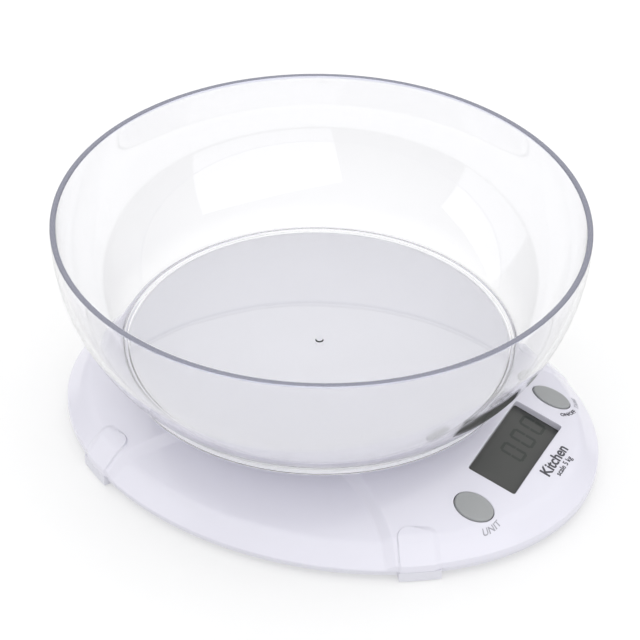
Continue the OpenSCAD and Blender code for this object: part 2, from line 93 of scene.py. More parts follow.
# %% Colour and node helpers
def srgb(hex_colour):
    """Linear RGBA of an sRGB hex colour"""
    parts = [int(hex_colour[i:i + 2], 16) / 255 for i in (1, 3, 5)]
    return [c / 12.92 if c <= 0.04045 else ((c + 0.055) / 1.055) ** 2.4 for c in parts] + [1.0]


def add(tree, kind, values=None, links=None, **settings):
    """Adds a node: values fill input sockets, links join inputs to outputs, settings are its options"""
    made = tree.nodes.new(kind)
    for key, value in settings.items():
        setattr(made, key, value)
    for key, value in (values or {}).items():
        made.inputs[key].default_value = value
    for key, source in (links or {}).items():
        tree.links.new(source, made.inputs[key])
    return made


def start_material(name, **values):
    """New material with one Principled shader; returns the material, its tree, shader and place in mm"""
    material = bpy.data.materials.new(name)
    material.use_nodes = True
    tree = material.node_tree
    tree.nodes.clear()
    shader = add(tree, "ShaderNodeBsdfPrincipled", {key.replace("_", " "): v for key, v in values.items()})
    add(tree, "ShaderNodeOutputMaterial", links={"Surface": shader.outputs["BSDF"]})
    place = add(tree, "ShaderNodeTexCoord")
    in_mm = add(tree, "ShaderNodeMapping", {"Scale": (1000, 1000, 1000)},
                {"Vector": place.outputs["Object"]})
    return material, tree, shader, in_mm.outputs["Vector"]


print("white ABS in linear light:", [round(c, 3) for c in srgb("#EDEDF8")])

# %% [markdown]
# ## Moulded plastics
#
# ABS, nylon and PVC leave a mould with a surface that is nearly, but not quite, even. A polished mould
# gives long soft ripples a few millimetres across, which only show in reflections. A spark-eroded mould
# gives a fine satin grain. Both are one recipe with different numbers: a noise pattern whose size is a
# real size in millimetres drives a little roughness, a trace of colour change and a shallow bump.

# %% Recipe for moulded plastic
def moulded(name, colour, roughness, grain_mm, grain_depth, shade=0.03, ior=1.53):
    """Moulded plastic with grain of a real size; grain_depth is the bump's height in mm"""
    material, tree, shader, in_mm = start_material(name, Roughness=roughness, IOR=ior)
    grain = add(tree, "ShaderNodeTexNoise", {"Scale": 1 / grain_mm, "Detail": 2.0}, {"Vector": in_mm})
    flow = add(tree, "ShaderNodeTexNoise", {"Scale": 1 / 40, "Detail": 1.0}, {"Vector": in_mm})
    dark = [c * (1 - shade) for c in srgb(colour)[:3]] + [1.0]
    tint = add(tree, "ShaderNodeMix", links={"Factor": flow.outputs["Fac"]}, data_type="RGBA")
    tint.inputs[6].default_value = dark
    tint.inputs[7].default_value = srgb(colour)
    tree.links.new(tint.outputs[2], shader.inputs["Base Color"])
    gloss = add(tree, "ShaderNodeMapRange",
                {"To Min": roughness * 0.85, "To Max": roughness * 1.2}, {"Value": grain.outputs["Fac"]})
    tree.links.new(gloss.outputs["Result"], shader.inputs["Roughness"])
    bump = add(tree, "ShaderNodeBump", {"Strength": 1.0, "Distance": grain_depth * MM},
               {"Height": grain.outputs["Fac"]})
    tree.links.new(bump.outputs["Normal"], shader.inputs["Normal"])
    return material


# Glossy ABS from a polished mould: ripples of about 6 mm, too shallow to see except in a reflection.
gloss_abs = moulded("polished_white_abs", "#D7D6E0", 0.16, 6.0, 0.004, shade=0.012)
# The platform is the same white ABS as the base, painted lighter to stand in for the light that the clear
# bowl above it keeps off: painted light.
platform_abs_painted_lighter = moulded("polished_platform_abs", "#F9F9FF", 0.2, 6.0, 0.004, shade=0.012)
# The lower shell and the battery door come from an eroded mould, so their sheen is broken up.
textured_abs = moulded("eroded_white_abs", "#D3D3DB", 0.42, 0.6, 0.02)
# Satin grey ABS of the buttons.
button_abs = moulded("satin_grey_abs", "#969899", 0.34, 0.5, 0.006, shade=0.02)
holder_abs = moulded("natural_white_abs", "#F0F0F2", 0.4, 1.2, 0.01)
switch_nylon = moulded("black_nylon", "#26262A", 0.45, 0.5, 0.008)
plunger_nylon = moulded("white_nylon", "#DADADA", 0.4, 0.5, 0.006)
red_pvc = moulded("red_pvc_sleeve", "#B23A33", 0.45, 0.4, 0.006)
black_pvc = moulded("black_pvc_sleeve", "#29292B", 0.45, 0.4, 0.006)
# Rubber is rough at every scale, with talc left on it that lightens it in patches.
pad_rubber = moulded("moulded_rubber", "#3C3C3F", 0.75, 0.35, 0.03, shade=0.15, ior=1.52)
white_silicone = moulded("white_silicone", "#F2F2EF", 0.5, 2.5, 0.05, ior=1.41)
pink_elastomer = moulded("pink_elastomer", "#D9A9B2", 0.6, 0.5, 0.01, ior=1.41)
black_epoxy = moulded("black_epoxy", "#1C1C1F", 0.3, 3.0, 0.06, ior=1.55)
tan_ceramic = moulded("tan_ceramic", "#C9A66C", 0.5, 0.3, 0.01, ior=1.7)
print("materials so far:", len(bpy.data.materials))

# %% [markdown]
# ## Metals, the circuit board and the battery sleeve
#
# Metal parts inside the base are plain stock: a milled aluminium bar, zinc-plated steel and nickel-plated
# spring wire. Milling leaves lines across the bar, which are a noise pattern squeezed along one axis.
# The board's green solder mask shows its copper tracks as faint lighter lines, and a battery cell wears a
# shrink sleeve whose printed band is a step along its length.

# %% Recipe for metal
def metal(name, colour, roughness, line_mm, line_depth, stretch=(1, 1, 1)):
    """Bare or plated metal with tool lines of a real width, drawn out along one axis by stretch"""
    material, tree, shader, in_mm = start_material(name, Metallic=1.0, Roughness=roughness)
    shader.inputs["Base Color"].default_value = srgb(colour)
    drawn = add(tree, "ShaderNodeMapping", {"Scale": stretch}, {"Vector": in_mm})
    lines = add(tree, "ShaderNodeTexNoise", {"Scale": 1 / line_mm, "Detail": 3.0},
                {"Vector": drawn.outputs["Vector"]})
    gloss = add(tree, "ShaderNodeMapRange",
                {"To Min": roughness * 0.75, "To Max": roughness * 1.35}, {"Value": lines.outputs["Fac"]})
    tree.links.new(gloss.outputs["Result"], shader.inputs["Roughness"])
    bump = add(tree, "ShaderNodeBump", {"Strength": 1.0, "Distance": line_depth * MM},
               {"Height": lines.outputs["Fac"]})
    tree.links.new(bump.outputs["Normal"], shader.inputs["Normal"])
    return material


zinc_steel = metal("zinc_plated_steel", "#B9BCC1", 0.35, 0.8, 0.01)
milled_aluminium = metal("milled_aluminium", "#C6C9CD", 0.32, 0.4, 0.01, stretch=(0.05, 1, 1))
spring_nickel = metal("nickel_plated_wire", "#C8C9CB", 0.22, 0.3, 0.004)
print("metals:", [m.name for m in (zinc_steel, milled_aluminium, spring_nickel)])

# %% Solder mask and shrink sleeve
board_mask, tree, shader, in_mm = start_material("green_solder_mask", Roughness=0.3, IOR=1.55)
tracks = add(tree, "ShaderNodeTexVoronoi", {"Scale": 1 / 5.0}, {"Vector": in_mm}, distance="MANHATTAN")
copper = add(tree, "ShaderNodeMapRange", {"From Min": 0.30, "From Max": 0.34},
             {"Value": tracks.outputs["Distance"]})
green = add(tree, "ShaderNodeMix", links={"Factor": copper.outputs["Result"]}, data_type="RGBA")
green.inputs[6].default_value = srgb("#2F6B45")
green.inputs[7].default_value = srgb("#3E8257")
tree.links.new(green.outputs[2], shader.inputs["Base Color"])

shrink_sleeve, tree, shader, in_mm = start_material("shrink_sleeve", Roughness=0.25, IOR=1.5)
along = add(tree, "ShaderNodeSeparateXYZ", links={"Vector": in_mm})
band = add(tree, "ShaderNodeMapRange", {"From Min": 8.0, "From Max": 8.4}, {"Value": along.outputs["X"]})
print_bands = add(tree, "ShaderNodeMix", links={"Factor": band.outputs["Result"]}, data_type="RGBA")
print_bands.inputs[6].default_value = srgb("#B9352D")
print_bands.inputs[7].default_value = srgb("#C8A35B")
tree.links.new(print_bands.outputs[2], shader.inputs["Base Color"])
print("board and sleeve finishes ready")

# %% [markdown]
# ## Clear plastic and the display
#
# The bowl is injection moulded styrene acrylonitrile: water clear, very glossy, with an index of about
# 1.57. Through a wall of 2.4 mm it looks colourless, but along the rim the eye looks down a long way into
# the plastic, where its blue-violet toning dye shows. The dye is a tint on the rim's own height, read from
# Object coordinates, so it stays on the rim from every side. The rim is also a little milky, as the mould
# halves part there. Light crosses the steep wall at a slant and the floor straight, so the wall's tint is a
# trace of grey and the floor's is none.
#
# The liquid crystal glass is dark grey behind a matt front polariser. Its segments are a slightly greener,
# darker grey, because light crosses the polariser twice.

# %% Clear plastic and display finishes
RIM_Z = 104.5
FLOOR_LEVEL = 46.0
WALL_LEVEL = 52.5
clear_san, tree, shader, in_mm = start_material("clear_styrene_plastic", Roughness=0.015, IOR=1.57)
height = add(tree, "ShaderNodeSeparateXYZ", links={"Vector": in_mm})
on_rim = add(tree, "ShaderNodeMapRange", {"From Min": RIM_Z - 1.3, "From Max": RIM_Z - 0.5},
             {"Value": height.outputs["Z"]})
on_wall = add(tree, "ShaderNodeMapRange", {"From Min": FLOOR_LEVEL, "From Max": WALL_LEVEL},
              {"Value": height.outputs["Z"]})
wall_dye = add(tree, "ShaderNodeMix", links={"Factor": on_wall.outputs["Result"]}, data_type="RGBA")
wall_dye.inputs[6].default_value = srgb("#FEFEFF")
wall_dye.inputs[7].default_value = srgb("#F6F6F8")
dye = add(tree, "ShaderNodeMix", links={"Factor": on_rim.outputs["Result"], 6: wall_dye.outputs[2]},
          data_type="RGBA")
dye.inputs[7].default_value = srgb("#D3D5EC")
tree.links.new(dye.outputs[2], shader.inputs["Base Color"])
clearness = add(tree, "ShaderNodeMapRange", {"To Min": 1.0, "To Max": 0.72},
                {"Value": on_rim.outputs["Result"]})
tree.links.new(clearness.outputs["Result"], shader.inputs["Transmission Weight"])
waves = add(tree, "ShaderNodeTexNoise", {"Scale": 1 / 30, "Detail": 1.0}, {"Vector": in_mm})
bump = add(tree, "ShaderNodeBump", {"Strength": 1.0, "Distance": 0.02 * MM}, {"Height": waves.outputs["Fac"]})
tree.links.new(bump.outputs["Normal"], shader.inputs["Normal"])

display_glass = moulded("polarised_display_glass", "#3B3C3A", 0.35, 0.5, 0.002, shade=0.03, ior=1.5)
display_ink = moulded("liquid_crystal_segment", "#232A25", 0.35, 0.5, 0.002, shade=0.03, ior=1.5)
label_grey = moulded("grey_pad_print", "#9C9CA4", 0.5, 0.5, 0.002)
label_dark = moulded("dark_pad_print", "#3C3C44", 0.5, 0.5, 0.002)
print("clear plastic and display finishes ready")

# %% [markdown]
# ## Finishes on the CAD pieces
#
# The CAD record says which finish each piece has. The pieces that keep their CAD shape, such as the screws,
# the load cell and the circuit board, only need the matching material in their slots.

# %% Hand the finishes to the CAD nodes
FINISH = {
    "clear_plastic": clear_san, "white_plastic": gloss_abs, "lower_white": textured_abs,
    "platform_white": platform_abs_painted_lighter, "steel": zinc_steel, "cell_aluminium": milled_aluminium,
    "silicone": white_silicone, "red_wire": red_pvc, "black_wire": black_pvc, "rubber": pad_rubber,
    "battery_wrap": shrink_sleeve, "spring_steel": spring_nickel, "board": board_mask,
    "black_resin": black_epoxy, "ceramic_part": tan_ceramic, "lcd": display_glass,
    "holder_white": holder_abs, "zebra": pink_elastomer, "button_grey": button_abs,
    "switch_black": switch_nylon, "plunger_white": plunger_nylon,
}
for part in frame["record"]["subparts"]:
    node = frame["nodes"][part["node"]]
    for slot in node.material_slots:
        slot.material = FINISH[part["material_slot"]]

# %% [markdown]
# ## Mesh helpers
#
# Most pieces here are skins over rows of points. A row is a closed loop, and two neighbouring rows are
# joined by quads. The rows run outwards over the top, down the outside and back in underneath, so every
# face comes out pointing away from the material without any repair.

# %% Mesh helpers
class Skin:
    """Points in mm and faces between them, built up loop by loop"""

    def __init__(self):
        self.points = []
        self.faces = []

    def loop(self, points):
        """Adds a loop of points and returns their numbers"""
        first = len(self.points)
        self.points.extend(tuple(p) for p in points)
        return list(range(first, first + len(points)))

    def join(self, a, b):
        """Quads between two loops with the same number of points"""
        n = len(a)
        self.faces.extend((a[i], b[i], b[(i + 1) % n], a[(i + 1) % n]) for i in range(n))

    def cap(self, loop, point, facing_in=False):
        """Closes a loop on one middle point"""
        (middle,) = self.loop([point])
        n = len(loop)
        for i in range(n):
            face = (middle, loop[i], loop[(i + 1) % n])
            self.faces.append(face[::-1] if facing_in else face)

    def rows(self, rows):
        """Adds several loops and joins each to the next; returns the loops' numbers"""
        loops = [self.loop(row) for row in rows]
        for a, b in zip(loops, loops[1:]):
            self.join(a, b)
        return loops


def in_tenths(place):
    """A place in metres as rounded millimetres, for printing"""
    return [round(c / MM, 1) for c in place]


def place_mesh(name, mesh, body, slot, *nodes, sharp=32):
    """Hands a finished mesh to its body, smooth except at sharp edges"""
    mesh.shade_smooth()
    mesh.set_sharp_from_angle(angle=math.radians(sharp))
    piece = bpy.data.objects.new(name, mesh)
    scene.collection.objects.link(piece)
    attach(piece, body)
    if nodes:
        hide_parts(*nodes)
    lo, hi = Vector(piece.bound_box[0]), Vector(piece.bound_box[6])
    print(name, "faces:", len(mesh.polygons), "from", in_tenths(lo), "to", in_tenths(hi))
    return piece


def finish_piece(name, points, faces, material, body, slot, *nodes, sharp=32):
    """Makes a mesh piece from points in mm and hands it to its body"""
    mesh = bpy.data.meshes.new(name)
    mesh.from_pydata([Vector(p) * MM for p in points], [], faces)
    mesh.materials.append(material)
    return place_mesh(name, mesh, body, slot, *nodes, sharp=sharp)


def circle(radius, steps, z=0.0, centre=(0.0, 0.0)):
    """Loop of points round the Z axis, counter-clockwise from above"""
    turns = np.linspace(0, 2 * math.pi, steps, endpoint=False)
    return [(centre[0] + radius * math.cos(t), centre[1] + radius * math.sin(t), z) for t in turns]


# %% [markdown]
# ## Shape of the base's top
#
# The top shell of the real base is one flowing surface: a flat middle, a gentle slope of 17.7 degrees in
# every direction, and a steep edge below a soft crease. Two side panels are let into it behind long curved
# steps, and four corner claws stand a little proud and wrap over the edge.
#
# Modelling that by hand with patches would be slow to change. Here the surface is a height function of the
# place on the table, built from a few soft minimums and ramps, so each feature is one short formula that
# uses the CAD sizes.

# %% Sizes of the base, in mm, as in the CAD source
HALF_LENGTH = 226.4 / 2
HALF_WIDTH = 179.6 / 2
SLOPE = math.radians(17.7)
RISE = math.tan(SLOPE)
BASE_HEIGHT = 35.0
EDGE_Z = 8.0
EDGE_DROP = 7.8
CREASE_R = HALF_LENGTH - EDGE_DROP
CREASE_Z = EDGE_Z + EDGE_DROP
SEAM_Z = 5.0
SHELL_WALL = 2.2
PANEL_STEP = 2.6
WAIST = 41.0
PILLAR_R = 78.5
STEP_RUN = 4.0
BOWL_Y = 5.7
HUB_HOLE_R = 17.0
FOOT_HALF = 17.0 / 2
FOOT_REACH = 10.5
FOOT_ROUND = 5.0
FOOT_LIFT = 0.8
FOOT_TURN = math.radians(39.8)
FOOT_X = (HALF_WIDTH - 1.8) * math.cos(FOOT_TURN)
FOOT_Y = (HALF_LENGTH - 1.8) * math.sin(FOOT_TURN)
FOOT_ANGLE = math.atan2(FOOT_Y / HALF_LENGTH ** 2, FOOT_X / HALF_WIDTH ** 2)


# %% Height of the top
def soft_min(a, b, k):
    """Minimum of a and b, rounded where they are closer than k"""
    return np.minimum(a, b) - np.maximum(k - np.abs(a - b), 0) ** 2 / (4 * k)


def soft_rise(t, k):
    """0 for negative t and t for positive t, rounded within k of 0"""
    return -soft_min(-t, 0 * t, k)


def ease(t):
    """0 below 0, 1 above 1, and smooth between"""
    t = np.clip(t, 0, 1)
    return t * t * (3 - 2 * t)


def oval_distance(x, y):
    """Distance from the middle, stretched so that the base's edge is at HALF_LENGTH all round"""
    return np.hypot(x * HALF_LENGTH / HALF_WIDTH, y)


def panel_fall(x, y):
    """How far a side panel lies under the middle band"""
    inside = PILLAR_R - np.hypot(np.abs(x) - WAIST - PILLAR_R, y)
    share = (soft_rise(inside, 0.5) - soft_rise(inside - STEP_RUN, 0.7)) / STEP_RUN
    return share * (PANEL_STEP - 0.6 * ease((oval_distance(x, y) - 92) / 20))


def claw_inset(x, y):
    """Distance inside a claw's outline, and the place across it, towards the end band"""
    dx = np.abs(x) - FOOT_X
    dy = np.abs(y) - FOOT_Y
    outward = dx * math.cos(FOOT_ANGLE) + dy * math.sin(FOOT_ANGLE)
    across = dy * math.cos(FOOT_ANGLE) - dx * math.sin(FOOT_ANGLE)
    corner_a = np.maximum(FOOT_ROUND - FOOT_REACH - outward, 0)
    corner_b = np.maximum(np.abs(across) - FOOT_HALF + FOOT_ROUND, 0)
    return FOOT_ROUND - np.hypot(corner_a, corner_b), across


def claw_share(x, y):
    """1 on a claw and 0 off it; its edge is crisp towards the side panel and fades towards the end"""
    inset, across = claw_inset(x, y)
    width = 0.6 + 2.6 * ease((across + 3) / 7)
    return ease(inset / width)


def top_height(x, y):
    """Height of the base's top over a place on the table"""
    rho = oval_distance(x, y)
    slope = soft_min(BASE_HEIGHT + 0 * rho, CREASE_Z + (CREASE_R - rho) * RISE, 2.0)
    shell = soft_min(slope, EDGE_Z + HALF_LENGTH - rho, 1.6)
    lift = FOOT_LIFT * (1.05 + 0.36 * ease((rho - CREASE_R + 1) / 3))
    return shell - panel_fall(x, y) + lift * claw_share(x, y)


def top_normal(x, y):
    """Unit normal of the top, from small steps in X and Y"""
    step = 0.02
    nx = (top_height(x - step, y) - top_height(x + step, y)) / (2 * step)
    ny = (top_height(x, y - step) - top_height(x, y + step)) / (2 * step)
    normal = np.stack([nx, ny, np.ones_like(nx)], axis=-1)
    return normal / np.linalg.norm(normal, axis=-1, keepdims=True)


print("height at the display, mm:", round(float(top_height(np.array(0.0), np.array(-82.7))), 2))

# %% [markdown]
# ## Slope frame
#
# The display and both buttons are laid out in a plane that lies along the slope. u runs to the right, v up
# the slope and w out of it. `on_top` drops a place in that plane on to the curved top, which is how a
# straight sleeve meets a domed surface in the real moulding.

# %% Slope frame
SLOPE_R = HALF_LENGTH - 30.5
SLOPE_Z = CREASE_Z + (CREASE_R - SLOPE_R) * RISE
COS, SIN = math.cos(SLOPE), math.sin(SLOPE)


def slope_point(u, v, w):
    """Points in mm from places in the slope frame"""
    u, v, w = np.broadcast_arrays(u, v, w)
    return np.stack([u, -SLOPE_R + v * COS - w * SIN, SLOPE_Z + v * SIN + w * COS], axis=-1)


def slope_place(x, y):
    """u and v of the top's point over (x, y)"""
    dy = y + SLOPE_R
    dz = top_height(x, y) - SLOPE_Z
    return x, dy * COS + dz * SIN


def top_level(u, v):
    """w of the top at a place in the slope frame"""
    w = np.zeros(np.broadcast(u, v).shape)
    for _ in range(8):
        p = slope_point(u, v, w)
        w = w + (top_height(p[..., 0], p[..., 1]) - p[..., 2]) * COS
    return w


def on_top(u, v, raised=0.0):
    """Points on the top at a place in the slope frame, raised along w"""
    return slope_point(u, v, top_level(u, v) + raised)


# %% Openings in the slope
WINDOW_U = 48.6 / 2
WINDOW_V = 21.3 / 2
BUTTON_U = 12.0 / 2
BUTTON_V = 16.5 / 2
BUTTON_OFFSET = WINDOW_U + 9.0 + BUTTON_U
GAP = 0.3
SLEEVE_WALL = 1.2
LCD_DROP = 4.6
fall_x = BUTTON_OFFSET + BUTTON_U + GAP + SLEEVE_WALL
dome_fall = (HALF_LENGTH * math.hypot(fall_x / HALF_WIDTH, SLOPE_R / HALF_LENGTH) - SLOPE_R) * SIN
FLANGE_DROP = dome_fall + 1.05 * SHELL_WALL + 0.35


def oval_loop(half_u, half_v, steps):
    """Clockwise oval with its outward directions"""
    turns = -np.linspace(0, 2 * math.pi, steps, endpoint=False)
    place = np.stack([half_u * np.cos(turns), half_v * np.sin(turns)], axis=-1)
    out = np.stack([np.cos(turns) / half_u, np.sin(turns) / half_v], axis=-1)
    return place, out / np.linalg.norm(out, axis=-1, keepdims=True)


def window_loop(half_u, half_v, corner, spacing):
    """Clockwise rectangle with round corners and its outward directions"""
    place, out = [], []
    for i, (su, sv) in enumerate([(1, -1), (-1, -1), (-1, 1), (1, 1)]):
        centre = np.array([su * (half_u - corner), sv * (half_v - corner)])
        for turn in np.linspace(0, -90, 7):
            angle = math.radians(turn - 90 * i)
            direction = np.array([math.cos(angle), math.sin(angle)])
            place.append(centre + corner * direction)
            out.append(direction)
        next_u, next_v = [(-1, -1), (-1, 1), (1, 1), (1, -1)][i]
        next_centre = np.array([next_u * (half_u - corner), next_v * (half_v - corner)])
        goal = next_centre + corner * direction
        steps = int(np.linalg.norm(goal - place[-1]) / spacing)
        begin = place[-1]
        for k in range(1, steps):
            place.append(begin + (goal - begin) * k / steps)
            out.append(direction)
    return np.array(place), np.array(out)


EDGE_ROUND = 0.35
openings = [(np.zeros(2), *window_loop(WINDOW_U, WINDOW_V, 1.0, 0.9), LCD_DROP)]
for side in (-1, 1):
    openings.append((np.array([side * BUTTON_OFFSET, 0.0]), *oval_loop(BUTTON_U + GAP, BUTTON_V + GAP, 72),
                     FLANGE_DROP - GAP))
print("openings:", len(openings), "sleeve depth, mm:", round(FLANGE_DROP - GAP, 2))

# %% [markdown]
# ## Outline of the base
#
# Seen from above the edge is an oval that swells by 0.8 mm where each claw wraps over it. The edge itself is
# rounded by a 0.8 mm fillet between the steep slope and the short upright wall above the seam.

# %% Outline
OUTLINE_STEPS = 960
EDGE_FILLET = 0.8
turns = np.linspace(0, 2 * math.pi, OUTLINE_STEPS, endpoint=False)
oval = np.stack([HALF_WIDTH * np.cos(turns), HALF_LENGTH * np.sin(turns)], axis=-1)
outward = np.stack([np.cos(turns) / HALF_WIDTH, np.sin(turns) / HALF_LENGTH], axis=-1)
outward /= np.linalg.norm(outward, axis=-1, keepdims=True)
swell = FOOT_LIFT * claw_share(oval[:, 0], oval[:, 1])
outline = oval + outward * swell[:, None]


def edge_gap(x, y):
    """Rough distance from a place to the outline"""
    rho = np.maximum(oval_distance(x, y), 1e-6)
    steepness = np.hypot(x * (HALF_LENGTH / HALF_WIDTH) ** 2, y) / rho
    return (HALF_LENGTH - rho) / steepness + FOOT_LIFT * claw_share(x, y)


print("outline points:", len(outline))

# %% [markdown]
# ## Points for the top
#
# A height function only looks right if the mesh has rows of points along its creases. So the points come
# in three kinds: loops along the outline and the openings, rows that follow the steps and the claws, and
# rings that fill the rest. A constrained Delaunay triangulation joins them all, and any filler point that
# comes too close to a row is left out first.

# %% Rows along the steps and the claws
STEP_OFFSETS = (-1.0, -0.5, -0.25, 0.0, 0.25, 0.5, 1.1, 2.0, 2.9, 3.4, 3.7, 4.0, 4.3, 4.7, 5.4)
CLAW_INSETS = (-0.5, -0.15, 0.05, 0.2, 0.35, 0.5, 0.65, 1.0, 1.7, 2.4, 3.0, 3.6)


def step_rows():
    """Arcs beside and across the two long steps"""
    for offset in STEP_OFFSETS:
        radius = PILLAR_R - offset
        angles = np.arange(-1.25, 1.25, 1.4 / radius)
        for s in (-1, 1):
            x = s * (WAIST + PILLAR_R - radius * np.cos(angles))
            yield np.stack([x, radius * np.sin(angles)], axis=-1)


def claw_rows():
    """Contours of the four claws, from just outside their outline inwards"""
    for inset in CLAW_INSETS:
        half = FOOT_HALF - inset
        corner = FOOT_ROUND - inset
        inner = FOOT_ROUND - FOOT_REACH
        side = [(a, half) for a in np.arange(8.0, inner, -1.1)]
        bend = [(inner - corner * math.sin(t), FOOT_HALF - FOOT_ROUND + corner * math.cos(t))
                for t in np.linspace(0, math.pi / 2, 9)]
        straight_half = FOOT_HALF - FOOT_ROUND
        end = [(inner - corner, b) for b in np.linspace(straight_half, -straight_half, 5)[1:-1]]
        upper = side + bend
        local = np.array(upper + end + [(a, -b) for a, b in reversed(upper)])
        x = FOOT_X + local[:, 0] * math.cos(FOOT_ANGLE) - local[:, 1] * math.sin(FOOT_ANGLE)
        y = FOOT_Y + local[:, 0] * math.sin(FOOT_ANGLE) + local[:, 1] * math.cos(FOOT_ANGLE)
        for sx in (-1, 1):
            for sy in (-1, 1):
                yield np.stack([sx * x, sy * y], axis=-1)


def clear_of_loops(xy, margin):
    """True where a point is inside the outline and outside every opening, by a margin"""
    x, y = xy[:, 0], xy[:, 1]
    clear = edge_gap(x, y) > margin
    clear &= np.hypot(x, y - BOWL_Y) > HUB_HOLE_R + margin
    u, v = slope_place(x, y)
    clear &= (np.abs(u) > WINDOW_U + margin) | (np.abs(v) > WINDOW_V + margin) | (y > 0)
    for s in (-1, 1):
        reach = np.hypot((u - s * BUTTON_OFFSET) / (BUTTON_U + GAP + margin), v / (BUTTON_V + GAP + margin))
        clear &= (reach > 1) | (y > 0)
    return clear


rows = [(row, clear_of_loops(row, 0.75)) for maker in (step_rows, claw_rows) for row in maker()]
print("feature rows:", len(rows))

# %% Rings of filler points
rings = []
for inset in (0.8, 1.6, 2.4, 3.3, 4.3, 5.0, 5.6, 6.2, 6.8, 7.4, 8.0, 8.7, 9.6, 10.8, 12.4):
    ring = outline - outward * (inset + 0.2)
    rings.append(ring[::2] if inset > 1 else ring)
for rho in np.arange(98.5, 20, -2.2):
    turns = np.linspace(0, 2 * math.pi, int(rho * 2.6), endpoint=False)
    rings.append(rho * np.stack([HALF_WIDTH / HALF_LENGTH * np.cos(turns), np.sin(turns)], axis=-1))
filler = np.concatenate(rings)
filler = filler[clear_of_loops(filler, 0.7)]
print("filler points:", len(filler))

# %% [markdown]
# ## Top shell
#
# The triangulated sheet becomes the outside of the shell. Pushed in by the wall thickness along its own
# normals it becomes the inside, and rows of quads down the edge, the hub hole, the display well and the
# button sleeves join the two into one closed solid. Its shading normals are taken from the height function
# itself, so the reflections run as smoothly as on a polished mould.

# %% Triangulate the sheet
loops_xy = [(outline - outward * (0.293 * EDGE_FILLET), 1)]
hub = np.array(circle(HUB_HOLE_R, 96, centre=(0.0, BOWL_Y)))[::-1, :2]
loops_xy.append((hub, -1))
for centre, place, out, depth in openings:
    rim = on_top(*(centre + place + out * EDGE_ROUND).T)
    loops_xy.append((rim[:, :2], -1))

plan, edges, loop_ids = [], [], []
for xy, _ in loops_xy:
    first = len(plan)
    plan.extend(map(tuple, xy))
    ids = list(range(first, first + len(xy)))
    loop_ids.append(ids)
    edges.extend(zip(ids, ids[1:] + ids[:1]))
for row, clear in rows:
    last = None
    for point, keep in zip(row, clear):
        if not keep:
            last = None
            continue
        plan.append(tuple(point))
        if last is not None:
            edges.append((last, len(plan) - 1))
        last = len(plan) - 1
taken = KDTree(len(plan))
for i, point in enumerate(plan):
    taken.insert((point[0], point[1], 0), i)
taken.balance()
for x, y in filler:
    if taken.find((x, y, 0))[2] > 0.55:
        plan.append((x, y))
plan = [Vector((float(x), float(y))) for x, y in plan]
flat, _, triangles, origins, _, _ = delaunay_2d_cdt(plan, edges, [], 1, 1e-5, True)
new_id = {}
for i, sources in enumerate(origins):
    for source in sources:
        new_id[source] = i
loop_ids = [[new_id[i] for i in ids] for ids in loop_ids]
holes = [set(ids) for ids in loop_ids[1:]]
triangles = [t for t in triangles if not any(all(i in hole for i in t) for hole in holes)]

# The outline has a slight hollow beside each claw, and the triangulation bridges it. A bridging triangle
# has all its corners on the outline and turns clockwise when they are taken in the outline's order.
rank = {i: k for k, i in enumerate(loop_ids[0])}


def bridges_hollow(triangle):
    """True for a triangle that lies outside the outline"""
    if not all(i in rank for i in triangle):
        return False
    a, b, c = (flat[i] for i in sorted(triangle, key=rank.get))
    return (b - a).cross(c - a) < 0


triangles = [t for t in triangles if not bridges_hollow(t)]
print("sheet points:", len(flat), "triangles:", len(triangles))

# %% Build the closed shell
x = np.array([p[0] for p in flat])
y = np.array([p[1] for p in flat])
normal = top_normal(x, y)
outer = np.stack([x, y, top_height(x, y)], axis=-1)
inner = outer - normal * SHELL_WALL
inner[:, 2] = np.maximum(inner[:, 2], SEAM_Z + 0.2)

shell = Skin()
top_ids = shell.loop(outer)
under_ids = shell.loop(inner)
for a, b, c in triangles:
    if (flat[b] - flat[a]).cross(flat[c] - flat[a]) < 0:
        b, c = c, b
    shell.faces.append((a, b, c))
    shell.faces.append((under_ids[c], under_ids[b], under_ids[a]))

# Edge: fillet, upright wall, and back in to the underside
edge_height = top_height(outline[:, 0], outline[:, 1])
edge_rows = []
for turn in np.radians([33.75, 22.5, 11.25, 0]):
    out = EDGE_FILLET * (math.cos(turn) - 1)
    rise = EDGE_FILLET * (math.sin(turn) - 0.414)
    edge_rows.append(np.column_stack([outline + outward * out, edge_height + rise]))
edge_rows.append(np.column_stack([outline, np.full(len(outline), SEAM_Z + 0.15)]))
edge_rows.append(np.column_stack([outline - outward * 0.15, np.full(len(outline), SEAM_Z)]))
edge_rows.append(np.column_stack([outline - outward * SHELL_WALL, np.full(len(outline), SEAM_Z)]))
made = shell.rows(edge_rows)
shell.join(loop_ids[0], made[0])
shell.join(made[-1], [under_ids[i] for i in loop_ids[0]])

# Hub hole: a plain cut edge
shell.join(loop_ids[1], [under_ids[i] for i in loop_ids[1]])

# Display well and button sleeves
for ids, (centre, place, out, depth) in zip(loop_ids[2:], openings):
    well_rows = []
    for turn in np.radians([22.5, 45, 67.5, 90]):
        away = EDGE_ROUND * (1 - math.sin(turn))
        sunk = EDGE_ROUND * (1 - math.cos(turn))
        well_rows.append(on_top(*(centre + place + out * away).T, -sunk))
    uv = (centre + place).T
    top_w = top_level(*uv) - EDGE_ROUND
    for share in (0.5, 1.0):
        well_rows.append(slope_point(*uv, top_w + (-depth - top_w) * share))
    well_rows.append(slope_point(*(centre + place + out * SLEEVE_WALL).T, -depth))
    made = shell.rows(well_rows)
    shell.join(ids, made[0])
    shell.join(made[-1], [under_ids[i] for i in ids])
print("shell faces:", len(shell.faces))

